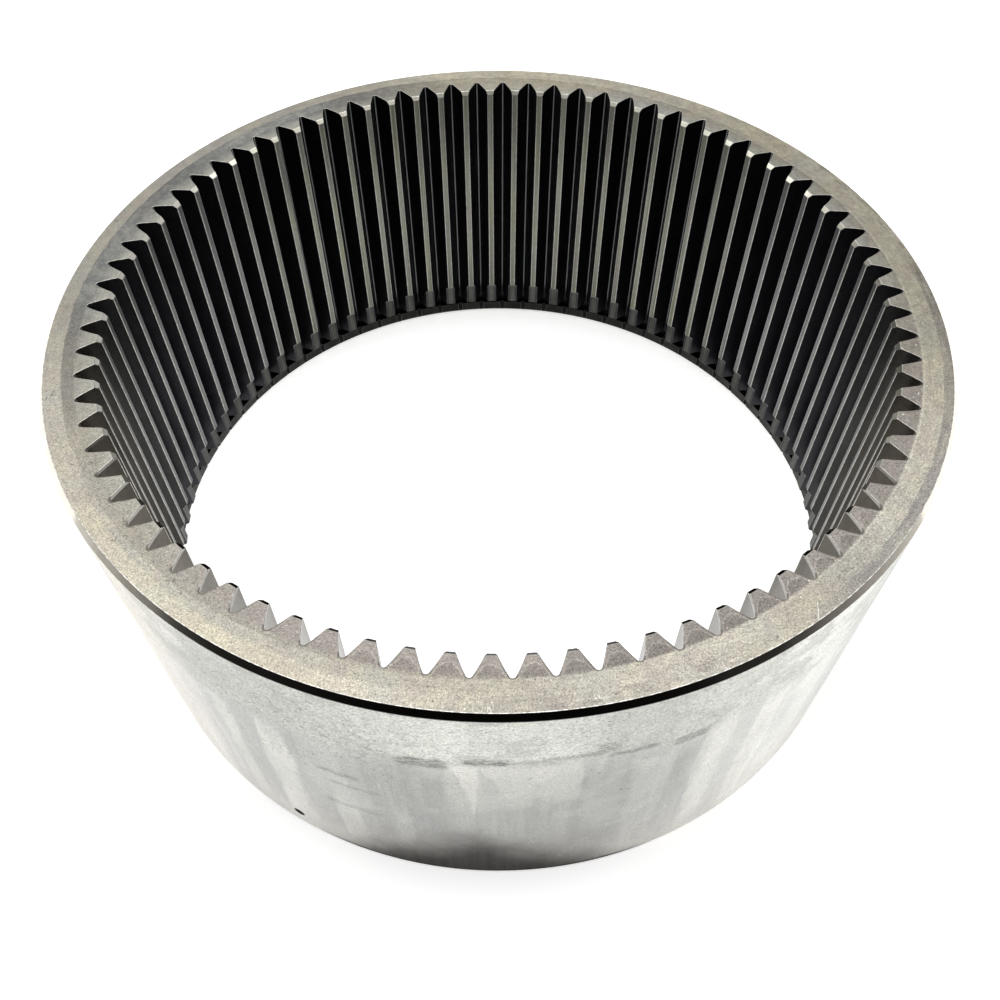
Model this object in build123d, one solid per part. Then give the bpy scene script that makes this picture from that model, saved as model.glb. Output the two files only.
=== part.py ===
from build123d import *
from math import acos, cos, pi, radians, sin, tan
import os

os.makedirs("parts", exist_ok=True)

# A ring gear: one steel ring with straight involute teeth on its inside.
# The axis is +Z and the origin is the centre of the bottom face.
# Tooth 0 is centred on +X. Lengths are in millimetres, angles in degrees.

# Teeth
module = 4.0
tooth_count = 79
pressure_angle = 25.0
addendum = 1.0 * module
dedendum = 1.25 * module

# Ring
outer_radius = 176.0
height = 152.0
edge_chamfer = 1.6

# Lower end of the bore, from the bottom face up: a wide chamfer, a land that stands a little
# inside the tooth roots, a snap ring groove, and a counterbore that shortens the teeth
bottom_chamfer = 4.4
land_radius = 162.0
land_top = 9.8
groove_top = 15.3
groove_radius = 165.5
counterbore_radius = 156.5
counterbore_top = 27.4

# Hole through the wall into the groove, to press the snap ring in
release_hole_diameter = 4.5
release_hole_rim = 0.4
release_hole_tooth = 53

pitch_radius = module * tooth_count / 2
tip_radius = pitch_radius - addendum
root_radius = pitch_radius + dedendum
base_radius = pitch_radius * cos(radians(pressure_angle))
pitch_step = 360 / tooth_count


def involute(angle):
    return tan(angle) - angle


def half_space_angle(radius):
    """Angle in radians from a space's centre line to its side, at a radius."""
    at_pitch = pi / (2 * tooth_count)
    angle = acos(base_radius / radius)
    return at_pitch - involute(angle) + involute(radians(pressure_angle))


def polar(radius, angle):
    """Point at an angle in radians."""
    return Vector(radius * cos(angle), radius * sin(angle))


def space_side(side, centre):
    """Three points on one side of a tooth space, from tip to root. side is -1 or 1."""
    radii = [tip_radius, pitch_radius, root_radius]
    return [polar(r, centre + side * half_space_angle(r)) for r in radii]


def toothed_bore():
    """Closed wire round all the teeth and spaces. Each side of a tooth is one arc."""
    step = radians(pitch_step)
    edges = []
    for tooth in range(tooth_count):
        middle = tooth * step
        half_tooth = step / 2 - half_space_angle(tip_radius)
        tip = [polar(tip_radius, middle + half_tooth * part) for part in (-1, 0, 1)]
        first = space_side(-1, middle + step / 2)
        last = space_side(1, middle + step / 2)
        edges.append(ThreePointArc(*tip))
        edges.append(ThreePointArc(*first))
        edges.append(Line(first[-1], last[-1]))
        edges.append(ThreePointArc(*last[::-1]))
    return Wire(edges)


def toothed_ring():
    outline = Wire(Edge.make_circle(outer_radius))
    face = Face(outline, [toothed_bore()])
    return extrude(face, height, dir=(0, 0, 1))


def turned_blank():
    """The ring before its teeth are cut, turned from one section (radius, height)."""
    counterbore_run = counterbore_radius - tip_radius
    section = [
        (land_radius + bottom_chamfer, 0),
        (outer_radius - edge_chamfer, 0),
        (outer_radius, edge_chamfer),
        (outer_radius, height - edge_chamfer),
        (outer_radius - edge_chamfer, height),
        (tip_radius + edge_chamfer, height),
        (tip_radius, height - edge_chamfer),
        (tip_radius, counterbore_top + counterbore_run),
        (counterbore_radius, counterbore_top),
        (counterbore_radius, groove_top),
        (groove_radius, groove_top),
        (groove_radius, land_top),
        (land_radius, land_top),
        (land_radius, bottom_chamfer),
    ]
    outline = Polyline([(r, 0, z) for r, z in section], close=True)
    return revolve(make_face(outline), Axis.Z)


def release_hole():
    """Drill for the hole, with its countersunk rim, from outside the ring into the groove."""
    radius = release_hole_diameter / 2
    middle = (land_top + groove_top) / 2
    wall = outer_radius - groove_radius
    section = [
        (0, -wall),
        (radius, -wall),
        (radius, -release_hole_rim),
        (radius + 2 * release_hole_rim, release_hole_rim),
        (0, release_hole_rim),
    ]
    outline = Polyline([(r, 0, z) for r, z in section], close=True)
    drill = revolve(make_face(outline), Axis.Z)
    drill = Pos(outer_radius, 0, middle) * Rot(0, 90, 0) * drill
    return Rot(0, 0, release_hole_tooth * pitch_step) * drill


ring_gear = turned_blank() & toothed_ring()
ring_gear -= release_hole()
ring_gear.label = "ring_gear"
export_step(ring_gear, "parts/ring_gear.step")
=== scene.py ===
import bpy
import bmesh
from math import acos, asin, cos, pi, radians, sin, tan
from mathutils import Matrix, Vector


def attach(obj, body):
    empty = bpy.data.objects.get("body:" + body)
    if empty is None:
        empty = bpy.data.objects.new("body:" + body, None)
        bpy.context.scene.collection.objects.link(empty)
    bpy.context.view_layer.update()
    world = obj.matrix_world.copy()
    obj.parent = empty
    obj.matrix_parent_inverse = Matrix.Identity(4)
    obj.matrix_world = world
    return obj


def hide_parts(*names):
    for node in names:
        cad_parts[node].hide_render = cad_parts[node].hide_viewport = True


# The ring gear of the frame, dressed: its rounded tooth roots, its worn edges and its steel.
# Lengths are in millimetres, and MM turns them to metres for the mesh. The floor and the camera
# are in metres.

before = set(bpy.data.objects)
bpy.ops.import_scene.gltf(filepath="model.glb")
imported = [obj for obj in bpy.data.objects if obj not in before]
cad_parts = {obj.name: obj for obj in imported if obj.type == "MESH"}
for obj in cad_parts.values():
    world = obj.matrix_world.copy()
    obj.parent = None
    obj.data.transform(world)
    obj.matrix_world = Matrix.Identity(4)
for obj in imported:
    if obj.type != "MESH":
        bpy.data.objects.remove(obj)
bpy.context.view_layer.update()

MM = 0.001

# The part's dimensions, the same as in its source
module = 4.0
tooth_count = 79
pressure_angle = 25.0
pitch_radius = module * tooth_count / 2
tip_radius = pitch_radius - module
root_radius = pitch_radius + 1.25 * module
base_radius = pitch_radius * cos(radians(pressure_angle))
outer_radius = 176.0
height = 152.0
edge_chamfer = 1.6
bottom_chamfer = 4.4
land_radius = 162.0
land_top = 9.8
groove_top = 15.3
groove_radius = 165.5
counterbore_radius = 156.5
counterbore_top = 27.4
relief = counterbore_radius - tip_radius
release_hole_radius = 2.25
release_hole_rim = 0.4
release_hole_tooth = 53
release_hole_height = (land_top + groove_top) / 2
pitch_step = 2 * pi / tooth_count

# The mesh: the top outer chamfer is a little wider than in the source, so that its worn corners
# leave its flat as wide
worn_chamfer = 1.85
# steps of a tooth's side, between the root's round and the tip
side_radii = (land_radius, 160.2, 158.4, counterbore_radius)
root_steps = 4
# steps of the outside in a pitch, and of the release hole
outside_steps = 8
hole_steps = 32
# the release hole's patch of the outside, a pitch wide, reaches this far above and below it
patch_reach = 6.5

# Wear: how wide the teeth's edges are rounded, and a share of that for the rims and the outside
worn_width = 0.22
rim_wear = 0.7
outside_wear = 0.3
# edges this sharp are worn, and those beyond this radius belong to the outside
sharp_degrees = 28
outside_from = 173.5


def involute(angle):
    return tan(angle) - angle


def half_space_angle(radius):
    """Angle from a space's centre line to its side, at a radius."""
    side = involute(acos(base_radius / radius))
    return pi / (2 * tooth_count) - side + involute(radians(pressure_angle))


def root_rounding():
    """The round root of a tooth space: its radius, how far from the axis its centre is, and the
    slope of the tooth's side where it ends."""
    slope = acos(base_radius / root_radius)
    radius = root_radius * half_space_angle(root_radius) * cos(slope) / (1 - sin(slope))
    return radius, root_radius - radius, slope


def half_space_stations():
    """(angle from the space's centre, radius, kind) from the middle of a space to the middle of
    the tooth beside it. kind is what lies between a station and the next one."""
    round_radius, centre, slope = root_rounding()
    found = []
    for i in range(root_steps):
        turn = (pi / 2 - slope) * i / root_steps
        at = Vector((centre + round_radius * cos(turn), round_radius * sin(turn)))
        found.append((at.angle_signed(Vector((1, 0))), at.length, "root"))
    touch = centre + round_radius * sin(slope)
    for radius in (touch, *side_radii, tip_radius + edge_chamfer):
        found.append((half_space_angle(radius), radius, "flank"))
    corner = half_space_angle(tip_radius)
    found.append((corner, tip_radius, "tip"))
    found.append(((corner + pitch_step / 2) / 2, tip_radius, "tip"))
    return found


def outline_stations():
    """The same all the way round, starting at the middle of tooth 0."""
    half = half_space_stations()
    whole = []
    for tooth in range(tooth_count):
        space = (tooth + 0.5) * pitch_step
        whole.append((space - pitch_step / 2, tip_radius, "tip"))
        for i in range(len(half) - 1, 0, -1):
            whole.append((space - half[i][0], half[i][1], half[i - 1][2]))
        for angle, radius, kind in half:
            whole.append((space + angle, radius, kind))
    return whole


MATERIALS = (
    "face", "flank", "tip", "chamfer", "pad", "groove", "land", "base", "outside", "rim", "edge",
)


class GearMesh:
    """Vertices by (radius, angle, height) and faces with the name of their material."""

    def __init__(self):
        self.bm = bmesh.new()
        self.known = {}

    def vertex(self, radius, angle, z):
        key = (round(radius, 4), round(angle % (2 * pi), 7), round(z, 4))
        if key not in self.known:
            at = (radius * cos(angle) * MM, radius * sin(angle) * MM, z * MM)
            self.known[key] = self.bm.verts.new(at)
        return self.known[key]

    def face(self, points, material):
        loop = []
        for point in points:
            v = self.vertex(*point)
            if v not in loop:
                loop.append(v)
        if len(loop) > 2 and not self.bm.faces.get(loop):
            self.bm.faces.new(loop).material_index = MATERIALS.index(material)

    def bridge(self, first, second, material):
        """Triangles between two closed loops that run the same way and start side by side."""
        i = j = 0
        while i < len(first) or j < len(second):
            a, b = first[i % len(first)], second[j % len(second)]
            if j >= len(second) or (i < len(first) and i * len(second) <= j * len(first)):
                i += 1
                self.face([a, first[i % len(first)], b], material)
            else:
                j += 1
                self.face([a, second[j % len(second)], b], material)


def clip(value, low, high):
    return max(low, min(high, value))


def bore_rings(stations):
    """The rings down the bore, each a list of (radius, angle, height), with what lies below."""
    def ring(radius_of, height_of):
        return [(radius_of(r), a, height_of(r)) for a, r, _ in stations]

    def chamfered(r):
        return height - edge_chamfer + clip(r - tip_radius, 0, edge_chamfer)

    def relieved(r):
        return counterbore_top + relief - clip(r - tip_radius, 0, relief)

    def cut_to(radius):
        return lambda r: max(r, radius)

    def level(z):
        return lambda r: z

    return [
        (ring(cut_to(tip_radius + edge_chamfer), level(height)), "chamfer"),
        (ring(lambda r: r, chamfered), "teeth"),
        (ring(lambda r: r, relieved), "relief"),
        (ring(cut_to(counterbore_radius), level(counterbore_top)), "short teeth"),
        (ring(cut_to(counterbore_radius), level(groove_top)), "groove"),
        (ring(level(groove_radius), level(groove_top)), "groove wall"),
        (ring(level(groove_radius), level(land_top)), "groove"),
        (ring(cut_to(land_radius), level(land_top)), "land"),
        (ring(cut_to(land_radius), lambda r: bottom_chamfer - max(0, r - land_radius)),
         "base chamfer"),
        (ring(level(land_radius + bottom_chamfer), level(0)), None),
    ]


def bore_material(below, kind):
    if below in ("chamfer", "base chamfer"):
        return "chamfer"
    if below in ("groove", "groove wall"):
        return "groove"
    if below == "land":
        return "flank" if kind == "root" else "land"
    if below == "relief":
        return "tip"
    if kind == "tip":
        return "tip" if below == "teeth" else "pad"
    return "flank"


# The release hole's patch of the outside and of the groove's wall
patch_start = (release_hole_tooth - 0.5) * pitch_step
patch_end = (release_hole_tooth + 0.5) * pitch_step
patch_low = release_hole_height - patch_reach
patch_high = release_hole_height + patch_reach


def in_patch(angle):
    return patch_start < angle < patch_end


def outer_ring(radius, z):
    step = pitch_step / outside_steps
    return [(radius, i * step, z) for i in range(tooth_count * outside_steps)]


def add_bore(mesh, rings, stations):
    """The teeth and all that lies below them, with a gap for the release hole's patch."""
    count = len(stations)
    for (upper, below), (lower, _) in zip(rings, rings[1:]):
        for i in range(count):
            j = (i + 1) % count
            middle = (upper[i][1] + upper[i + 1][1]) / 2 if j else 0
            if below == "groove wall" and in_patch(middle):
                continue
            kind = stations[i][2]
            material = bore_material(below, kind)
            a, b, c, d = upper[i], upper[j], lower[j], lower[i]
            # where the outline leaves a cone, the crease runs from corner to corner
            if below not in ("chamfer", "relief", "base chamfer") or kind != "flank":
                mesh.face([a, b, c, d], material)
            elif upper[i][0] < upper[j][0]:
                mesh.face([a, b, c], material)
                mesh.face([a, c, d], material)
            else:
                mesh.face([a, b, d], material)
                mesh.face([b, c, d], material)


def add_outside(mesh):
    """The outer wall and its chamfers, with a gap for the release hole's patch."""
    levels = [
        (outer_radius - edge_chamfer, 0, "rim"),
        (outer_radius, edge_chamfer, "outside"),
        (outer_radius, patch_low, "outside"),
        (outer_radius, patch_high, "outside"),
        (outer_radius, height - worn_chamfer, "rim"),
        (outer_radius - worn_chamfer, height, None),
    ]
    for (r0, z0, material), (r1, z1, _) in zip(levels, levels[1:]):
        low, high = outer_ring(r0, z0), outer_ring(r1, z1)
        for i in range(len(low)):
            j = (i + 1) % len(low)
            if z0 == patch_low and in_patch((i + 0.5) * pitch_step / outside_steps):
                continue
            mesh.face([low[i], low[j], high[j], high[i]], material)


def add_flat_face(mesh, inner, outer, material):
    """A flat face between two rings, one polygon for each half tooth."""
    inner_half = len(inner) // tooth_count // 2
    outer_half = outside_steps // 2
    for half in range(2 * tooth_count):
        a = [inner[(half * inner_half + k) % len(inner)] for k in range(inner_half + 1)]
        b = [outer[(half * outer_half + k) % len(outer)] for k in range(outer_half + 1)]
        mesh.face(a + b[::-1], material)


def hole_ring(radius, hole_radius):
    """A ring of the release hole, where a cylinder round the gear's axis meets it."""
    found = []
    for k in range(hole_steps):
        turn = 2 * pi * k / hole_steps - 3 * pi / 4
        across = asin(hole_radius * cos(turn) / radius)
        z = release_hole_height + hole_radius * sin(turn)
        found.append((radius, release_hole_tooth * pitch_step + across, z))
    return found


def add_release_hole(mesh, rings):
    """A patch of the outside, the hole's rim, its wall and a patch of the groove's wall."""
    first = round(patch_start / pitch_step * outside_steps)
    angles = [(first + k) * pitch_step / outside_steps for k in range(outside_steps + 1)]
    outer_patch = [(outer_radius, angle, patch_low) for angle in angles]
    outer_patch += [(outer_radius, angle, patch_high) for angle in reversed(angles)]
    wall = [below for _, below in rings].index("groove wall")
    groove_up, groove_down = rings[wall][0], rings[wall + 1][0]
    start = next(i for i, p in enumerate(groove_up) if abs(p[1] - patch_start) < 1e-6)
    span = range(start, start + len(groove_up) // tooth_count + 1)
    groove_patch = [groove_down[i] for i in span] + [groove_up[i] for i in reversed(span)]
    rim = hole_ring(outer_radius, release_hole_radius + release_hole_rim)
    mouth = hole_ring(outer_radius - release_hole_rim, release_hole_radius)
    inner = hole_ring(groove_radius, release_hole_radius)
    mesh.bridge(outer_patch, rim, "outside")
    mesh.bridge(rim, mouth, "edge")
    mesh.bridge(mouth, inner, "groove")
    mesh.bridge(groove_patch, inner, "groove")


def weigh_edges(bm):
    """Sharp edges are worn round, the turned ones of the outside less than the teeth."""
    wear = bm.edges.layers.float.new("bevel_weight_edge")
    for edge in bm.edges:
        if len(edge.link_faces) == 2 and edge.calc_face_angle() > radians(sharp_degrees):
            outside = min(v.co.xy.length for v in edge.verts) > outside_from * MM
            top = min(v.co.z for v in edge.verts) > (height - 0.1) * MM
            edge[wear] = (rim_wear if top else outside_wear) if outside else 1.0


def build_gear():
    mesh = GearMesh()
    stations = outline_stations()
    rings = bore_rings(stations)
    add_bore(mesh, rings, stations)
    add_outside(mesh)
    add_flat_face(mesh, rings[0][0], outer_ring(outer_radius - worn_chamfer, height), "face")
    add_flat_face(mesh, rings[-1][0], outer_ring(outer_radius - edge_chamfer, 0), "base")
    add_release_hole(mesh, rings)
    bmesh.ops.recalc_face_normals(mesh.bm, faces=mesh.bm.faces)
    weigh_edges(mesh.bm)
    data = bpy.data.meshes.new("ring_gear_dressed")
    mesh.bm.to_mesh(data)
    open_edges = sum(1 for e in mesh.bm.edges if len(e.link_faces) != 2)
    mesh.bm.free()
    print("gear mesh: faces", len(data.polygons), "open edges", open_edges)
    gear = bpy.data.objects.new("ring_gear_dressed", data)
    bpy.context.scene.collection.objects.link(gear)
    data.polygons.foreach_set("use_smooth", [True] * len(data.polygons))
    bevel = gear.modifiers.new("worn edges", "BEVEL")
    bevel.width = worn_width * MM
    bevel.segments = 2
    bevel.limit_method = "WEIGHT"
    bevel.use_clamp_overlap = False
    bevel.harden_normals = True
    bevel.material = MATERIALS.index("edge")
    return gear


def srgb(r, g, b):
    """A colour as a picture shows it, 0 to 255, as Blender takes it."""
    return tuple(((c / 255 + 0.055) / 1.055) ** 2.4 for c in (r, g, b)) + (1,)


class Nodes:
    """A tree of shader nodes. What goes into a node is a value or another node's output."""

    def __init__(self, tree):
        self.tree = tree

    def node(self, kind, *values, **settings):
        found = self.tree.nodes.new(kind)
        for key, value in settings.items():
            setattr(found, key, value)
        for socket, value in zip(found.inputs, values):
            self.put(socket, value)
        return found

    def put(self, socket, value):
        if isinstance(value, bpy.types.NodeSocket):
            self.tree.links.new(value, socket)
        else:
            socket.default_value = value

    def math(self, operation, *values):
        return self.node("ShaderNodeMath", *values, operation=operation).outputs[0]

    def vector(self, operation, *values, out="Vector"):
        return self.node("ShaderNodeVectorMath", *values, operation=operation).outputs[out]

    def plus(self, a, b):
        return self.math("ADD", a, b)

    def minus(self, a, b):
        return self.math("SUBTRACT", a, b)

    def size(self, value):
        return self.math("ABSOLUTE", value)

    def largest(self, a, b):
        return self.math("MAXIMUM", a, b)

    def line(self, value, slope, start):
        """slope times value, plus start."""
        return self.math("MULTIPLY_ADD", value, slope, start)

    def product(self, *values):
        found = values[0]
        for value in values[1:]:
            found = self.math("MULTIPLY", found, value)
        return found

    def step(self, value, low, high, from_value=0, to_value=1):
        """from_value below low, to_value above high, smooth between. low may be the larger."""
        found = self.node("ShaderNodeMapRange", value, low, high, from_value, to_value)
        found.interpolation_type = "SMOOTHSTEP"
        return found.outputs[0]

    def ramp(self, value, low, high):
        """0 at low, 1 at high, straight between and no further."""
        return self.node("ShaderNodeMapRange", value, low, high, 0.0, 1.0).outputs[0]

    def band(self, value, low, high, soft):
        """1 between low and high, 0 outside."""
        above = self.step(value, low - soft, low)
        return self.product(above, self.step(value, high + soft, high))


class Graph(Nodes):
    """The nodes of one material. Places are in millimetres. An azimuth is in degrees round the
    axis: 0 is the photo's right, 90 its far side, 180 its left and 270 its front."""

    def __init__(self, name, roughness, metallic):
        self.material = bpy.data.materials.new(name)
        self.material.use_nodes = True
        super().__init__(self.material.node_tree)
        self.shader = self.tree.nodes["Principled BSDF"]
        self.metallic(metallic)
        self.roughness(roughness)
        place = self.node("ShaderNodeTexCoord").outputs["Object"]
        self.at = self.vector("MULTIPLY", place, (1 / MM,) * 3)
        self.x, self.y, self.z = self.node("ShaderNodeSeparateXYZ", self.at).outputs
        self.radius = self.distance(self.x, self.y)
        self.angle = self.math("ARCTAN2", self.y, self.x)
        self.turns = self.line(self.angle, 1 / pitch_step, 0.5)

    def colour(self, value):
        self.put(self.shader.inputs["Base Color"], value)

    def roughness(self, value):
        self.put(self.shader.inputs["Roughness"], value)

    def metallic(self, value):
        self.put(self.shader.inputs["Metallic"], value)

    def bump(self, height, depth):
        found = self.node("ShaderNodeBump")
        self.put(found.inputs["Height"], height)
        self.put(found.inputs["Distance"], depth * MM)
        self.put(self.shader.inputs["Normal"], found.outputs[0])

    def mix(self, factor, a, b, blend="MIX"):
        found = self.node("ShaderNodeMix", data_type="RGBA", blend_type=blend)
        self.put(found.inputs[0], factor)
        self.put(found.inputs[6], a)
        self.put(found.inputs[7], b)
        return found.outputs[2]

    def shade(self, colour, amount):
        """The colour times amount."""
        grey = self.node("ShaderNodeCombineColor", amount, amount, amount).outputs[0]
        return self.mix(1.0, colour, grey, "MULTIPLY")

    def lighten(self, colour, where, amount):
        """The colour lighter by a share of itself, or darker where amount is below 0."""
        return self.shade(colour, self.line(where, amount, 1.0))

    def distance(self, a, b):
        return self.math("SQRT", self.plus(self.math("POWER", a, 2), self.math("POWER", b, 2)))

    def swing(self, noise, reach):
        """Noise from 0 to 1, turned to -reach to reach."""
        return self.line(noise, 2 * reach, -reach)

    def opposite(self, where):
        return self.minus(1.0, where)

    def noise_at(self, vector, shift, detail, roughness, distortion=0):
        moved = self.vector("ADD", vector, (shift,) * 3)
        found = self.node("ShaderNodeTexNoise", moved)
        self.put(found.inputs["Scale"], 1)
        self.put(found.inputs["Detail"], detail)
        self.put(found.inputs["Roughness"], roughness)
        self.put(found.inputs["Distortion"], distortion)
        return found.outputs[0]

    def noise(self, scale, detail=3, roughness=0.5, stretch=(1, 1, 1), shift=0, distortion=0):
        """0 to 1, mostly 0.3 to 0.7. scale is in blobs a millimetre."""
        vector = self.vector("MULTIPLY", self.at, tuple(scale * s for s in stretch))
        return self.noise_at(vector, shift, detail, roughness, distortion)

    def round_noise(self, across, along, detail=3, roughness=0.5, shift=0):
        """Noise drawn out along circles round the axis, in blobs a millimetre and a radian."""
        vector = self.node("ShaderNodeCombineXYZ", self.radius, self.angle, self.z).outputs[0]
        vector = self.vector("MULTIPLY", vector, (across, along, across))
        return self.noise_at(vector, shift, detail, roughness)

    def hairs(self, scale, width, amount, shift, stretch=(1, 1, 1)):
        """Thin short curved lines: 1 on a line."""
        line = self.size(self.minus(self.noise(scale, 1, 0.4, stretch, shift), 0.5))
        kept = self.noise(scale * 0.9, 2, 0.5, (1, 1, 1), shift + 31)
        kept = self.step(kept, 1 - amount, 1.04 - amount)
        return self.product(self.step(line, width, width * 0.3), kept)

    def specks(self, scale, size, share, shift):
        """Small round dots: 1 inside a dot. scale is in cells a millimetre, size in cells."""
        vector = self.vector("MULTIPLY", self.at, (scale,) * 3)
        cells = self.node("ShaderNodeTexVoronoi", self.vector("ADD", vector, (shift,) * 3))
        self.put(cells.inputs["Scale"], 1)
        chosen = self.node("ShaderNodeSeparateColor", cells.outputs["Color"]).outputs[0]
        dot = self.step(cells.outputs["Distance"], size, size * 0.6)
        return self.product(dot, self.step(chosen, 1 - share, 1.001 - share))

    def across_tooth(self):
        """-0.5 to 0.5 of a pitch, 0 at a tooth's middle."""
        return self.minus(self.math("FRACT", self.turns), 0.5)

    def degrees(self):
        """Degrees round the axis, 180 to 540, so that they run on past the front."""
        return self.line(self.angle, 180 / pi, 360.0)

    def facing(self, azimuth, outer, inner):
        """1 within inner degrees of an azimuth, 0 beyond outer degrees."""
        near = self.math("COSINE", self.minus(self.angle, radians(azimuth)))
        return self.step(near, cos(radians(outer)), cos(radians(inner)))

    def patches(self, degrees, z, places, soft_degrees, soft_z):
        """The strongest of (from, to, bottom, top, strength) patches of the wall."""
        found = None
        for start, end, bottom, top, strength in places:
            beside = self.band(degrees, start, end, soft_degrees)
            one = self.product(beside, self.band(z, bottom, top, soft_z), strength)
            found = one if found is None else self.largest(found, one)
        return found


def face_ring(g):
    """The top face's own colour, and where the lighter ring lies that something bore on."""
    begins = g.line(g.math("COSINE", g.minus(g.angle, radians(145))), 3.2, 165.3)
    wander = g.swing(g.noise(0.12, 4, 0.65), 1.2)
    inside = g.minus(g.radius, g.plus(begins, wander))
    ring = g.step(inside, -0.35, 0.35)
    warm = g.step(g.noise(0.05, 3, 0.6), 0.35, 0.65)
    patchy = g.step(g.noise(0.13, 3, 0.6, shift=14), 0.38, 0.62)
    light = g.mix(warm, srgb(183, 181, 170), srgb(190, 184, 167))
    light = g.mix(g.product(patchy, 0.6), light, srgb(176, 168, 160))
    grey = g.mix(warm, srgb(165, 161, 152), srgb(168, 162, 149))
    cloud = g.step(g.noise(0.3, 4, 0.7, shift=4), 0.35, 0.65)
    blue_grey = g.mix(cloud, srgb(116, 117, 116), srgb(143, 142, 136))
    grey = g.mix(g.facing(148, 52, 26), grey, blue_grey)
    colour = g.mix(ring, grey, light)
    seam = g.product(g.band(inside, -0.5, -0.15, 0.15), g.facing(110, 75, 50))
    seam = g.product(seam, g.step(g.noise(0.2, 2, shift=33), 0.4, 0.55))
    return g.mix(g.product(seam, 0.5), colour, srgb(92, 90, 84)), ring


def tooth_ends(g, colour, end):
    """Tooth ends: lighter towards the tip at the far left, a purplish grey at the near right."""
    near_right = g.facing(294, 76, 48)
    pale_end = g.product(g.step(g.radius, root_radius, 156.0), 0.8)
    pale = g.mix(g.facing(38, 52, 24), srgb(174, 173, 161), srgb(180, 182, 177))
    colour = g.mix(g.product(pale_end, g.opposite(near_right)), colour, pale)
    colour = g.mix(g.product(end, near_right), colour, srgb(162, 155, 148))
    arc = g.product(g.band(g.radius, 163.3, 163.8, 0.3), g.facing(355, 60, 40))
    return g.mix(g.product(arc, 0.5), colour, srgb(206, 202, 190))


def worn_domes(g, colour, end):
    """Dark worn domes with a light rim on the near tooth ends, the same on each of them."""
    dome_top, dome_curve, dome_strength, rim_strength = 158.8527, 34.0, 0.4621, 0.2737
    hump = g.line(g.math("POWER", g.across_tooth(), 2), dome_curve, dome_top)
    hump = g.plus(g.minus(g.radius, hump), g.swing(g.noise(0.7, 3, 0.6, shift=12), 1.2))
    worn = g.product(end, g.facing(287, 44, 22))
    dome = g.product(g.step(hump, -0.2, 0.3), worn, dome_strength)
    dome_rim = g.product(g.band(hump, -0.55, -0.3, 0.2), worn, rim_strength)
    colour = g.mix(g.product(dome, 0.75), colour, srgb(114, 108, 101))
    return g.mix(dome_rim, colour, srgb(218, 213, 205)), dome


def face_strip(g, colour):
    """The darker strip near the outer edge, and marks round the face."""
    begins = g.line(g.round_noise(0.3, 12, 3, 0.6, 17), 1.2, 169.9)
    strip = g.product(g.step(g.minus(g.radius, begins), -0.2, 0.3), g.facing(338, 36, 22))
    strip = g.product(strip, g.step(g.round_noise(0.6, 9, 4, 0.7, 7), 0.32, 0.55, 0.35, 1.0))
    colour = g.mix(g.product(strip, 0.7), colour, srgb(138, 134, 132))
    colour = g.shade(colour, g.step(g.round_noise(1.3, 14, 3, 0.6, 3), 0.3, 0.7, 0.94, 1.06))
    dirt = g.product(g.step(g.radius, 169.5, 172), g.facing(18, 30, 14))
    dirt = g.product(dirt, g.step(g.round_noise(0.5, 16, 4, 0.7, 27), 0.5, 0.62))
    return g.mix(g.product(dirt, 0.55), colour, srgb(116, 108, 96))


def face_stretches(g, colour, ring, end):
    """Lighter and darker stretches round the face, partly its own tone and partly painted light and
    shade, and yellower stretches.
    """
    whole = 1.0
    teeth_clear = g.opposite(end)
    middle = g.product(g.opposite(ring), teeth_clear)
    outer_part = g.step(g.radius, 168.0, 169.4)
    # its part of the face, azimuth, how far round (none beyond, all within) and how much
    stretches = [
        (whole, 25, 55, 25, -0.13),
        (ring, 148, 50, 30, -0.25),
        (middle, 191, 14, 6, -0.25),
        (middle, 110, 14, 6, -0.20),
        (middle, 130, 11, 5, 0.20),
        (middle, 152, 11, 5, -0.17),
        (outer_part, 238, 28, 14, 0.22),
        (teeth_clear, 290, 15, 7, 0.14),
        (teeth_clear, 332, 22, 10, 0.17),
        (end, 290, 18, 8, -0.14),
        (end, 30, 22, 10, -0.10),
        (end, 110, 16, 8, -0.22),
    ]
    # partly painted light and shade: the face's tone by azimuth
    tone = 1.0
    for part, azimuth, none, full, amount in stretches:
        tone = g.line(g.product(part, g.facing(azimuth, none, full)), amount, tone)
    colour = g.shade(colour, tone)
    yellow = g.product(g.facing(45, 75, 50), g.line(end, -0.4, 1.0))
    yellow = g.product(yellow, g.step(g.noise(0.03, 2, shift=57), 0.35, 0.6, 0.45, 1.0))
    yellow = g.largest(yellow, g.product(g.facing(232, 22, 12), outer_part, 0.7))
    colour = g.mix(yellow, colour, g.mix(1.0, colour, (1.0, 0.98, 0.89, 1), "MULTIPLY"))
    mottle = g.product(g.minus(g.noise(0.45, 3, 0.7, shift=51), 0.5), g.facing(50, 75, 50))
    return g.lighten(colour, mottle, 0.9)


def rim_cuts(g, colour):
    """Short light scratches along the radius near the rim, and a greyer patch beside them."""
    cuts = g.step(g.round_noise(0.35, 330, 2, 0.5, 41), 0.60, 0.68)
    cuts = g.product(cuts, g.step(g.radius, 169.8, 171.6), g.facing(278, 46, 24))
    cuts = g.product(cuts, g.step(g.noise(0.1, 2, shift=44), 0.4, 0.6))
    colour = g.mix(g.product(cuts, 0.65), colour, srgb(246, 242, 232))
    greyer = g.product(g.band(g.radius, 170.0, 173.4, 0.9), g.facing(284, 15, 9))
    greyer = g.product(greyer, g.step(g.round_noise(0.35, 26, 3, 0.6, 63), 0.46, 0.58))
    return g.mix(g.product(greyer, 0.5), colour, srgb(152, 144, 138))


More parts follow.
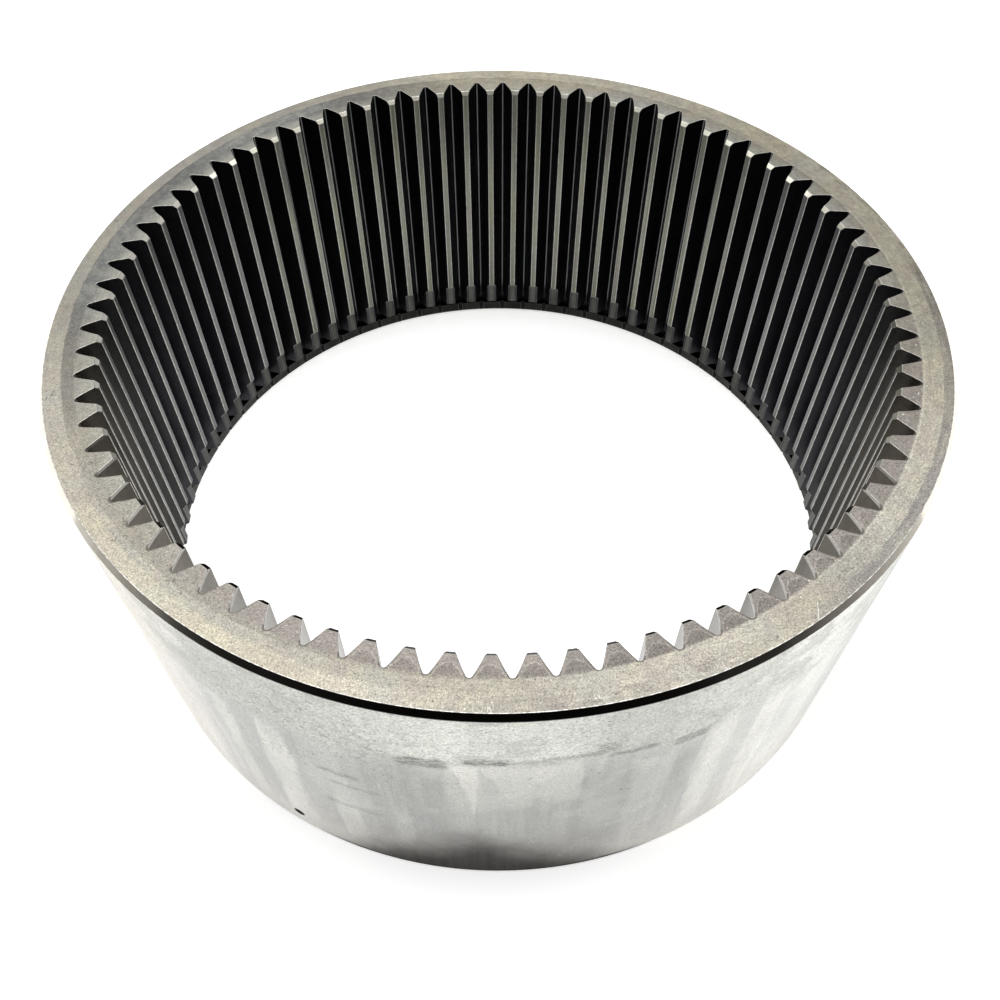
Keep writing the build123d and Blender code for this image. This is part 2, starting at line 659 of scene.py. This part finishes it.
def painted_space_shade(g, colour):
    """Painted shade: a dark outline round the roots and along the hidden side of each space at the
    front, where the inside of the space lies in shadow.
    """
    across = g.across_tooth()
    to_space = g.product(g.minus(0.5, g.size(across)), pitch_step)
    round_radius, round_centre, _ = root_rounding()
    from_centre = g.distance(g.minus(g.radius, round_centre), g.product(g.radius, to_space))
    # half_space_angle as a parabola through three radii
    middle, reach = 159.0, 3.0
    below, at, above = (half_space_angle(middle + r) for r in (-reach, 0, reach))
    curve, slope = (above - 2 * at + below) / 2 / reach ** 2, (above - below) / 2 / reach
    beyond = g.minus(g.radius, middle)
    half_space = g.line(g.line(beyond, curve, slope), beyond, at)
    from_side = g.product(g.radius, g.minus(to_space, half_space))
    hidden = g.step(g.product(across, g.minus(g.degrees(), 268.0)), 0.0, 0.5)
    outline = g.product(g.step(from_side, 0.7, 0.4), hidden, g.step(g.radius, 156.5, 159.5))
    outline = g.product(outline, g.step(g.radius, 162.2, 161.8))
    root = g.step(from_centre, round_radius + 0.75, round_radius + 0.45)
    # painted shade at the front only
    outline = g.product(g.largest(outline, root), g.facing(268, 66, 52))
    uneven = g.step(g.noise(0.35, 3, 0.6, shift=61), 0.35, 0.5, 0.5, 1.0)
    return g.mix(g.product(outline, uneven, 0.7), colour, srgb(98, 92, 82))


def face_specks(g, colour, near_side):
    """Fine scratches, dots and nicks all over the face."""
    dark_hairs = g.product(g.hairs(0.22, 0.007, 0.5, 3), g.line(g.facing(175, 75, 35), 0.5, 0.4))
    colour = g.mix(dark_hairs, colour, srgb(98, 94, 88))
    colour = g.mix(g.product(g.hairs(0.35, 0.006, 0.42, 9), 0.45), colour, srgb(232, 228, 216))
    colour = g.mix(g.product(g.specks(0.2, 0.09, 0.35, 2), 0.7), colour, srgb(84, 80, 74))
    light_dots = g.product(g.specks(0.55, 0.16, 0.3, 6), near_side, 0.5)
    colour = g.mix(light_dots, colour, srgb(250, 246, 232))
    nick = g.largest(g.facing(345, 16, 6), g.facing(305, 6, 2))
    nick = g.product(g.specks(0.5, 0.2, 0.35, 5), nick, g.step(g.radius, 168, 165))
    return g.mix(g.product(nick, 0.8), colour, srgb(250, 248, 240))


def long_scratches(g, colour):
    """Two longer scratches: one along the radius, one slanting across the face."""
    degrees = g.degrees()
    # each has a radius and an azimuth that it passes through. The slope of the first is in
    # degrees a millimetre, and that of the second in millimetres a degree.
    cut_from, cut_at, cut_slope = 169.2, 305.56, -0.306
    cut = g.line(g.radius, cut_slope, cut_at - cut_slope * cut_from)
    cut = g.product(g.band(g.minus(degrees, cut), -0.02, 0.02, 0.07),
                    g.band(g.radius, 169.4, 174.0, 0.4))
    slant_from, slant_at, slant_end, slant_slope = 164.9, 291.4, 297.7, 0.46
    slant = g.line(degrees, slant_slope, slant_from - slant_slope * slant_at)
    slant = g.product(g.band(g.minus(g.radius, slant), -0.03, 0.03, 0.1),
                      g.band(degrees, slant_at, slant_end, 0.5), 0.6)
    return g.mix(g.product(g.largest(cut, slant), 0.9), colour, srgb(250, 248, 240))


def face_steel():
    """The blasted top face: a lighter ring where something bore on it, and greyer tooth ends."""
    g = Graph("steel_face", 0.5, 0.55)
    end = g.step(g.radius, root_radius + 0.4, root_radius - 0.6)
    colour, ring = face_ring(g)
    colour = tooth_ends(g, colour, end)
    colour, dome = worn_domes(g, colour, end)
    colour = face_strip(g, colour)
    colour = face_stretches(g, colour, ring, end)
    colour = rim_cuts(g, colour)
    colour = painted_space_shade(g, colour)

    # the blasted grain is deeper on the near side
    grain = g.noise(1.2, 1, 0.7)
    fine = g.noise(2.1, 1, 0.6, shift=21)
    mixed = g.plus(g.product(grain, 0.4), g.product(fine, 0.6))
    near_side = g.facing(268, 120, 50)
    depth = g.plus(g.line(near_side, 1.25, 0.75), g.product(dome, 0.5))
    lightness = g.line(g.minus(mixed, 0.5), g.product(depth, 1.25), 1.0)
    mottle = g.line(g.minus(g.noise(0.2, 4, 0.65), 0.5), 0.38, 1.0)
    colour = g.shade(colour, g.product(lightness, mottle))
    colour = face_specks(g, colour, near_side)
    g.colour(long_scratches(g, colour))
    g.roughness(g.step(grain, 0.2, 0.8, 0.42, 0.6))
    g.bump(mixed, 0.07)
    return g.material


# Patches of the outer wall: azimuth from and to, bottom, top and strength
light_patches = [
    (235.0, 237.0, 20, 100, 0.6),
    (241.5, 244.5, 25, 95, 0.8),
    (250.0, 252.0, 22, 48, 0.9),
    (257.0, 258.6, 28, 60, 0.4),
    (264.0, 278.0, 90, 117, 0.6),
    (286.0, 289.0, 30, 100, 0.35),
    (294.0, 296.5, 25, 112, 0.85),
    (301.0, 304.0, 18, 132, 1.0),
]
dark_patches = [
    (237.5, 240.5, 30, 110, 0.5),
    (245.0, 249.0, 30, 105, 0.4),
    (252.5, 256.5, 40, 105, 0.35),
    (259.3, 264.0, 40, 110, 0.55),
    (279.0, 284.0, 35, 105, 0.3),
    (289.0, 293.2, 62, 104, 0.55),
    (293.2, 293.9, 35, 112, 0.5),
]
smudges = [
    (259.5, 263.5, 112.5, 117.5, 0.8),
    (266.5, 270.0, 117.5, 120.5, 1.0),
    (270.0, 274.5, 118.2, 119.0, 0.5),
    (274.5, 281.0, 119.4, 120.2, 0.6),
    (280.6, 282.0, 120.0, 126.0, 0.5),
    (282.0, 286.0, 115.5, 116.3, 0.7),
    (289.0, 292.2, 110.5, 114.0, 0.9),
    (249.0, 253.0, 85.5, 87.0, 0.6),
    (250.0, 255.5, 75.8, 76.4, 0.5),
    (249.0, 255.0, 53.4, 54.6, 0.5),
]
# Light wedges, widest at the top: the top's azimuth and half width, the lower end's azimuth and
# height, strength
wedges = [
    (265.8, 1.9, 266.7, 70.0, 0.9),
    (272.4, 5.4, 271.0, 82.0, 0.6),
]
wedge_top = 117.0


def wiped_patches(g, colour, degrees):
    """Wiped and bare patches, most of them upright."""
    drift = g.swing(g.noise(0.12, 3, 0.6, (1, 1, 1), 75), 12.0)
    lifted = g.plus(g.z, drift)
    uneven = g.step(g.noise(0.09, 4, 0.65, (1, 1, 0.35), 91), 0.36, 0.62, 0.35, 1.0)
    darker = g.product(g.patches(degrees, lifted, dark_patches, 1.1, 16), uneven, 0.8)
    lighter = g.product(g.patches(degrees, lifted, light_patches, 0.9, 18), uneven, 0.78)
    for top_at, half_width, end_at, end_z, strength in wedges:
        up = g.ramp(g.z, end_z, wedge_top)
        off = g.size(g.minus(degrees, g.line(up, top_at - end_at, end_at)))
        off = g.minus(off, g.product(up, half_width))
        wedge = g.product(g.step(off, 0.5, -0.5), g.step(g.z, end_z - 4, end_z + 4))
        wedge = g.product(wedge, g.step(g.z, wedge_top + 2, wedge_top - 4), strength)
        lighter = g.largest(lighter, wedge)
    colour = g.mix(darker, colour, srgb(142, 142, 139))
    return g.mix(lighter, colour, srgb(226, 226, 217))


def rough_top(g, colour, degrees):
    """Above a scuffed line the wall is rougher, with short dark dashes along the turning."""
    boundary = g.line(g.facing(272, 18, 8), 6.0, 109.0)
    boundary = g.plus(boundary, g.swing(g.noise(0.04, 3, 0.6, (1, 1, 0.3), 6), 6.0))
    upper = g.step(g.minus(g.z, boundary), -4, 6)
    colour = g.mix(g.product(upper, 0.55), colour, srgb(208, 209, 201))
    dashes = g.noise(0.8, 3, 0.75, (1, 1, 3.0), 9)
    share = g.step(g.noise(0.06, 2, shift=60), 0.35, 0.6, 0.3, 1.0)
    flecks = g.product(g.step(dashes, 0.44, 0.33), share, g.step(upper, 0, 1, 0.25, 1.0))
    colour = g.mix(g.product(flecks, 0.75), colour, srgb(104, 104, 99))
    drift = g.plus(g.z, g.swing(g.noise(0.3, 3, 0.6, (1, 1, 1), 81), 2.0))
    marks = g.patches(degrees, drift, smudges, 1.3, 2.0)
    broken = g.step(g.noise(0.4, 4, 0.75, (1, 1, 2.0), 14), 0.38, 0.56, 0.2, 1.0)
    return g.mix(g.product(marks, broken, 0.95), colour, srgb(90, 90, 86)), upper


def painted_front_shade(g, colour):
    """Painted shade low down at the front, for the shadowed floor the wall reflects, a painted
    highlight at the right, and warmer at the left and the foot.
    """
    # painted shade: darker low down at the front
    lower_half = g.product(g.facing(270, 34, 6), g.step(g.z, 128, 92))
    colour = g.lighten(colour, lower_half, -0.22)
    above_foot = g.product(g.facing(267, 26, 14), g.step(g.z, 60, 28))
    colour = g.lighten(colour, above_foot, -0.25)
    # painted highlight: lighter at the right
    colour = g.lighten(colour, g.facing(303, 16, 6), 0.12)
    warm = g.largest(g.facing(212, 24, 8), g.product(g.step(g.z, 60, 5), 0.5))
    return g.mix(g.product(warm, 0.5), colour, srgb(210, 200, 188))


def painted_foot_shadow(g, colour, degrees):
    """Painted shadow at the front: a dark patch shaped like a low peak and a dark line along the
    foot, standing in for the shadowed floor that the wall reflects.
    """
    peak_at, peak_height, peak_slope = 267.0, 49.0, -2.4
    top = g.line(g.size(g.minus(degrees, peak_at)), peak_slope, peak_height)
    top = g.plus(top, g.swing(g.noise(0.06, 3, 0.55, (1, 1, 1), 40), 8.0))
    # painted shadow, darker below a wavy peak-shaped line
    stain_and_shadow = g.product(g.step(g.minus(g.z, top), 14.0, -27.0), 0.94)
    foot = g.product(g.step(g.z, 5.5, 2.5), g.facing(267.5, 24, 16))
    stain_and_shadow = g.largest(stain_and_shadow, foot)
    return g.mix(stain_and_shadow, colour, srgb(32, 26, 19)), stain_and_shadow


def painted_side_highlights(g, colour):
    """Painted highlights: lighter where the wall turns away at both sides, for the bright floor it
    reflects there, and lighter above the scuffed line.
    """
    # painted highlights at both sides
    top_sides = g.largest(g.facing(308, 13, 7), g.facing(227, 10, 5))
    colour = g.lighten(colour, g.product(top_sides, g.step(g.z, 122, 142)), 0.32)
    low_sides = g.largest(g.facing(313, 11, 5), g.facing(222, 10, 5))
    colour = g.lighten(colour, g.product(low_sides, g.step(g.z, 138, 124)), 0.3)
    above_line = g.product(g.facing(267, 14, 7), g.band(g.z, 121, 146, 6))
    return g.lighten(colour, above_line, 0.2)


def wall_scratches(g, colour, upper):
    """Curled scratches at the left of the upper wall, and short ones along the turning."""
    duller = g.step(g.noise(0.05, 4, 0.65, (1, 1, 1.5), 97), 0.52, 0.42)
    colour = g.mix(g.product(duller, upper, 0.5), colour, srgb(178, 179, 172))
    curls = g.product(g.hairs(0.25, 0.014, 0.6, 43), g.facing(246, 17, 8))
    curls = g.product(curls, g.band(g.z, 85, 145, 10))
    ticks = g.product(g.hairs(0.5, 0.03, 0.5, 33, (1, 1, 3.0)), upper, g.facing(268, 40, 26))
    lines = g.largest(curls, g.product(ticks, 0.8))
    return g.mix(g.product(lines, 0.7), colour, srgb(92, 92, 87))


def wall_hairs(g, colour):
    """Fine hairs and a few dark dots all over the wall."""
    dark_hairs = g.product(g.hairs(0.12, 0.005, 0.5, 3, (1, 1, 1.6)), 0.6)
    colour = g.mix(dark_hairs, colour, srgb(98, 98, 94))
    turned = g.product(g.hairs(0.3, 0.012, 0.5, 3, (1, 1, 2.5)), g.facing(250, 20, 8))
    turned = g.product(turned, g.band(g.z, 50, 140, 10))
    colour = g.mix(g.product(turned, 0.6), colour, srgb(96, 96, 92))
    light_hairs = g.product(g.hairs(0.09, 0.003, 0.42, 12, (1, 1, 0.4)), 0.45)
    colour = g.mix(light_hairs, colour, srgb(236, 236, 230))
    return g.mix(g.product(g.specks(0.07, 0.05, 0.25, 8), 0.8), colour, srgb(70, 68, 62))


def outside_steel():
    """The outer wall: silver, speckled towards the top, smoother below with streaks and marks, and
    with painted shade and highlights.
    """
    g = Graph("steel_outside", 0.35, 0.85)
    streak = g.noise(0.3, 3, 0.6, (1, 1, 0.03), 5)
    wide = g.noise(0.045, 3, 0.5, (1, 1, 0.08), 25)
    cloud = g.noise(0.04, 4, 0.6, (1, 1, 1), 17, 0.3)
    colour = g.mix(g.step(streak, 0.36, 0.64), srgb(170, 170, 166), srgb(188, 188, 183))
    colour = g.mix(g.product(g.step(wide, 0.5, 0.57), 0.45), colour, srgb(208, 208, 201))
    colour = g.mix(g.product(g.step(cloud, 0.52, 0.60), 0.35), colour, srgb(210, 211, 203))

    uneven = g.swing(g.noise(0.06, 4, 0.65, (1, 1, 0.35), 71), 2.0)
    degrees = g.plus(g.degrees(), uneven)
    colour = wiped_patches(g, colour, degrees)
    colour, upper = rough_top(g, colour, degrees)
    colour = painted_front_shade(g, colour)
    # painted shadow low at the front, for the floor's shadow that the wall reflects
    colour, stain_and_shadow = painted_foot_shadow(g, colour, degrees)
    colour = painted_side_highlights(g, colour)
    colour = wall_scratches(g, colour, upper)

    grain = g.noise(1.2, 2, 0.8)
    lightness = g.line(g.minus(grain, 0.5), g.step(upper, 0, 1, 1.0, 1.45), 1.0)
    colour = wall_hairs(g, g.shade(colour, lightness))
    # painted reflection: a dark strip under the rim at the front, which widens the dark band of the
    # chamfer
    dark_band_reflection = g.product(g.step(g.z, 149.6, 149.9), g.facing(268, 36, 26))
    g.colour(g.mix(dark_band_reflection, colour, srgb(26, 23, 19)))
    gloss = g.plus(g.step(upper, 0, 1, 0.27, 0.4), g.step(streak, 0.3, 0.7, -0.03, 0.06))
    g.roughness(g.plus(gloss, g.product(stain_and_shadow, 0.3)))
    g.bump(grain, 0.025)
    return g.material


def tip_steel():
    """Tooth tips: fine lines along the tooth, painted highlights along the corners and at
    mid-height, and brown stains here and there.
    """
    g = Graph("steel_tip", 0.40, 1.0)
    from_middle = g.size(g.across_tooth())
    half_tip = 0.5 - half_space_angle(tip_radius) / pitch_step
    line = g.noise(1.6, 3, 0.65, (1, 1, 0.008), 3)
    cloud = g.noise(0.08, 3, 0.6, (1, 1, 0.5), 8)
    olive = g.mix(g.step(line, 0.35, 0.65), srgb(108, 108, 88), srgb(138, 138, 116))
    cool = g.mix(g.step(line, 0.35, 0.65), srgb(104, 105, 104), srgb(132, 134, 134))
    sides = g.step(g.size(g.math("COSINE", g.angle)), 0.6, 0.85)
    colour = g.mix(g.largest(g.step(cloud, 0.1264, 0.8764), sides), olive, cool)
    stain_and_shadow = g.product(g.step(cloud, 0.50, 0.66), g.facing(74, 60, 20), 0.1044)
    colour = g.mix(stain_and_shadow, colour, srgb(120, 92, 58))
    # painted highlights: lighter towards the corners, and lighter at mid-height than at the top and
    # foot
    colour = g.shade(colour, g.step(from_middle, half_tip * 0.55, half_tip * 0.9, 0.94, 1.3))
    colour = g.shade(colour, g.line(g.band(g.z, 60, 100, 40), 0.28, 0.88))
    colour = g.shade(colour, g.step(g.noise(0.9, 2), 0.3, 0.7, 0.9, 1.1))
    colour = g.mix(g.product(g.specks(0.3, 0.16, 0.25, 8), 0.6), colour, srgb(170, 160, 120))
    g.colour(colour)
    g.bump(line, 0.012)
    return g.material


def dull_steel(name, light, dark, roughness, metallic=1.0, far=1.0):
    """far is how light the side away from the camera is beside the rest: painted shade there when
    below 1.
    """
    g = Graph(name, roughness, metallic)
    cloud = g.noise(0.12, 4, 0.6, (1, 1, 0.4), 2)
    fine = g.noise(1.0, 2, 0.6)
    colour = g.mix(g.step(cloud, 0.35, 0.65), dark, light)
    # painted shade on the side away from the camera
    if far < 1:
        colour = g.lighten(colour, g.facing(90, 70, 25), far - 1)
    g.colour(g.shade(colour, g.step(fine, 0.25, 0.75, 0.86, 1.14)))
    g.bump(fine, 0.02)
    return g.material


def flank_steel():
    """Tooth sides: dark far away, warmer and lighter at the front, painted shade and light by where
    they face, and a painted highlight as a pale line along each root.
    """
    g = Graph("steel_flank", 0.24, 1.0)
    cloud = g.noise(0.12, 4, 0.6, (1, 1, 0.4), 2)
    fine = g.noise(0.8, 2, 0.6)
    # painted light and shade: darker the further round from the front, lighter at the front
    colour = g.mix(g.facing(270, 100, 80), srgb(60, 60, 64), srgb(66, 66, 64))
    colour = g.mix(g.facing(270, 86, 66), colour, srgb(74, 69, 63))
    colour = g.mix(g.facing(270, 70, 48), colour, srgb(98, 93, 84))
    colour = g.mix(g.facing(270, 46, 26), colour, srgb(132, 128, 121))
    colour = g.shade(colour, g.step(cloud, 0.35, 0.65, 0.88, 1.12))
    colour = g.shade(colour, g.step(fine, 0.25, 0.75, 0.9, 1.1))
    # painted light: lighter still at the front left
    colour = g.lighten(colour, g.facing(238, 24, 12), 0.18)
    # the worn top edges at the front are bare
    worn = g.product(g.step(g.z, 150.5, 150.9), g.facing(268, 64, 50))
    worn = g.product(worn, g.step(g.radius, 162.6, 162.0), 0.85)
    colour = g.mix(worn, colour, srgb(240, 237, 230))
    # at the far side, painted shade in the corners of the roots and a painted highlight along the
    # roots' middles
    far_side = g.facing(90, 110, 80)
    corner = g.product(g.step(g.radius, 161.9, 162.3), far_side)
    colour = g.lighten(colour, corner, -0.7)
    line = g.step(g.radius, root_radius - 0.045, root_radius - 0.015)
    line = g.product(line, far_side, g.step(g.z, 20, 30))
    g.colour(g.mix(line, colour, srgb(158, 160, 160)))
    g.metallic(g.line(g.largest(line, worn), -0.85, 1.0))
    g.roughness(g.line(far_side, 0.14, 0.22))
    g.bump(fine, 0.006)
    return g.material


def chamfer_steel():
    """The chamfered tooth tips: bright far away, duller at the left, and dark at the front, a
    painted dark reflection.
    """
    g = Graph("steel_chamfer", 0.16, 1.0)
    cloud = g.noise(0.12, 4, 0.6, (1, 1, 0.4), 2)
    left = g.facing(178, 34, 20)
    colour = g.mix(g.step(cloud, 0.35, 0.65), srgb(182, 180, 166), srgb(206, 203, 190))
    colour = g.mix(left, colour, srgb(212, 210, 200))
    # painted reflection: near-black at the front
    g.colour(g.mix(g.facing(270, 47, 36), colour, srgb(34, 30, 27)))
    g.metallic(g.line(left, -0.65, 1.0))
    g.roughness(g.line(left, 0.3, 0.16))
    return g.material


def rim_steel():
    """The polished outer chamfers, dark at the front, a painted dark reflection."""
    g = Graph("steel_rim", 0.06, 1.0)
    cloud = g.noise(0.12, 4, 0.6, (1, 1, 0.4), 2)
    colour = g.mix(g.step(cloud, 0.35, 0.65), srgb(226, 219, 206), srgb(240, 233, 220))
    # painted reflection: darker at the front
    g.colour(g.lighten(colour, g.facing(262, 31, 26), -0.55))
    return g.material


def edge_steel():
    """Worn edges: bright round the top rim, grey on the teeth, with painted shade low down and at
    the front roots and a painted dark reflection under the rim.
    """
    g = Graph("steel_edge", 0.3, 0.9)
    fine = g.noise(0.5, 3, 0.6)
    shiny = g.mix(g.step(fine, 0.42, 0.58), srgb(186, 182, 174), srgb(252, 250, 244))
    teeth = g.mix(g.step(fine, 0.35, 0.65), srgb(176, 174, 166), srgb(214, 212, 204))
    colour = g.mix(g.step(g.radius, 172.5, 173.2), teeth, shiny)
    # painted shade: darker round the roots at the front and low down in the bore
    root = g.product(g.step(g.radius, 161.3, 162.2), g.step(g.radius, 164.5, 163.8))
    root = g.product(root, g.facing(268, 66, 52), 0.75)
    colour = g.lighten(colour, g.largest(g.step(g.z, 34, 24), root), -0.86)
    # painted reflection: the worn edge under the rim at the front is as dark as the chamfer's band
    dark_band_reflection = g.product(g.step(g.radius, 175.2, 175.6), g.step(g.z, 140, 146))
    dark_band_reflection = g.product(dark_band_reflection, g.facing(268, 36, 26))
    g.colour(g.mix(dark_band_reflection, colour, srgb(22, 19, 16)))
    return g.material


gear = build_gear()
looks = {
    "face": face_steel(),
    "flank": flank_steel(),
    "tip": tip_steel(),
    "chamfer": chamfer_steel(),
    "pad": dull_steel("steel_pad", srgb(92, 92, 87), srgb(72, 72, 67), 0.42),
    # the groove's steel is near-black: painted shade in its recess
    "groove": dull_steel("steel_groove", srgb(44, 42, 38), srgb(28, 27, 24), 0.6),
    "land": dull_steel("steel_land", srgb(84, 83, 81), srgb(62, 61, 60), 0.5, far=0.4),
    "base": dull_steel("steel_base", srgb(186, 182, 170), srgb(168, 163, 152), 0.5, 0.6),
    "outside": outside_steel(),
    "rim": rim_steel(),
    "edge": edge_steel(),
}
for name in MATERIALS:
    gear.data.materials.append(looks[name])
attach(gear, "root")
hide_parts("ring_gear")


def floor_paper():
    """White paper, overexposed to the camera as in the photo, so that only the shadows show.
    Its places are in metres."""
    material = bpy.data.materials.new("paper")
    material.use_nodes = True
    n = Nodes(material.node_tree)
    shader = n.tree.nodes["Principled BSDF"]
    shader.inputs["Base Color"].default_value = (0.9, 0.9, 0.9, 1)
    shader.inputs["Roughness"].default_value = 0.9
    shader.inputs["Emission Color"].default_value = (1, 1, 1, 1)
    place = n.node("ShaderNodeTexCoord").outputs["Object"]
    from_axis = n.vector("LENGTH", place, out="Value")

    # to the camera the paper is a little less overexposed just outside the wall
    for_camera = n.step(from_axis, 0.178, 0.25, 0.42, 0.7)
    for_camera = n.line(n.math("LESS_THAN", from_axis, 0.17), 0.28, for_camera)

    # the steel reflects it dimmer, and in shadow right in front of the wall's foot
    shadow, plain = 0.05, 0.45
    front = (cos(radians(267)), sin(radians(267)), 0)
    ahead = n.vector("DOT_PRODUCT", n.vector("NORMALIZE", place), front, out="Value")
    beside = n.step(ahead, cos(radians(12)), cos(radians(19)), 0.0, plain)
    reflected = n.largest(n.step(from_axis, 0.181, 0.187, shadow, plain), beside)

    ray = n.node("ShaderNodeLightPath").outputs
    for_gloss = n.product(ray["Is Glossy Ray"], reflected)
    glow = n.line(ray["Is Camera Ray"], for_camera, for_gloss)
    n.put(shader.inputs["Emission Strength"], glow)
    return material


floor_data = bpy.data.meshes.new("floor")
reach = 15.0
corners = [(-reach, -reach, 0), (reach, -reach, 0), (reach, reach, 0), (-reach, reach, 0)]
floor_data.from_pydata(corners, [], [(0, 1, 2, 3)])
floor = bpy.data.objects.new("floor", floor_data)
# a little below the gear's foot, so that the two don't share a plane
floor.location.z = -0.0002
bpy.context.scene.collection.objects.link(floor)
floor_data.materials.append(floor_paper())

# Camera, fitted to the photo's rims and tooth roots
camera_data = bpy.data.cameras.new("camera")
camera_data.sensor_width = 36
camera_data.lens = 34.346
camera = bpy.data.objects.new("camera", camera_data)
camera.location = (-0.001492, -0.289328, 0.408539)
camera.rotation_euler = (radians(36.7956), radians(-0.0117), radians(-0.419))
bpy.context.scene.collection.objects.link(camera)
bpy.context.scene.camera = camera

# Light: soft light from above, from behind and from both sides in a dark room, with a pale glow
# along the horizon. Each light is its azimuth, its height in degrees, how narrow it is and how
# strong.
lights = [
    (90, 30, 18, 0.90),
    (130, 48, 18, 1.35),
    (-5, 48, 14, 0.62),
    (-175, 48, 14, 0.78),
    (90, 75, 14, 0.50),
    (0, 75, 14, 2.50),
    (180, 75, 14, 2.00),
    (15, 44, 45, 1.80),
    (165, 44, 45, 1.30),
]
# the horizon's glow: how high it reaches (as a sine), how fast it fades and how strong it is
horizon_reach, horizon_fade, horizon_strength = 0.26, 1.3, 0.72
dark_room = 0.004


def light_room(world):
    world.use_nodes = True
    n = Nodes(world.node_tree)
    direction = n.node("ShaderNodeTexCoord").outputs["Generated"]
    upward = n.size(n.node("ShaderNodeSeparateXYZ", direction).outputs[2])
    horizon = n.largest(n.line(upward, -1 / horizon_reach, 1.0), 0.0)
    glow = n.line(n.math("POWER", horizon, horizon_fade), horizon_strength, dark_room)
    for azimuth, up, narrow, strength in lights:
        flat = cos(radians(up))
        towards = (flat * cos(radians(azimuth)), flat * sin(radians(azimuth)), sin(radians(up)))
        near = n.vector("DOT_PRODUCT", direction, towards, out="Value")
        falloff = n.math("EXPONENT", n.line(near, narrow, -narrow))
        glow = n.line(falloff, strength, glow)
    # the camera sees white
    seen = n.largest(glow, n.node("ShaderNodeLightPath").outputs["Is Camera Ray"])
    background = n.tree.nodes["Background"].inputs
    n.put(background["Strength"], seen)
    n.put(background["Color"], (1, 1, 1, 1))


bpy.context.scene.world = bpy.data.worlds.new("studio")
light_room(bpy.context.scene.world)
bpy.context.scene.view_settings.view_transform = "Standard"
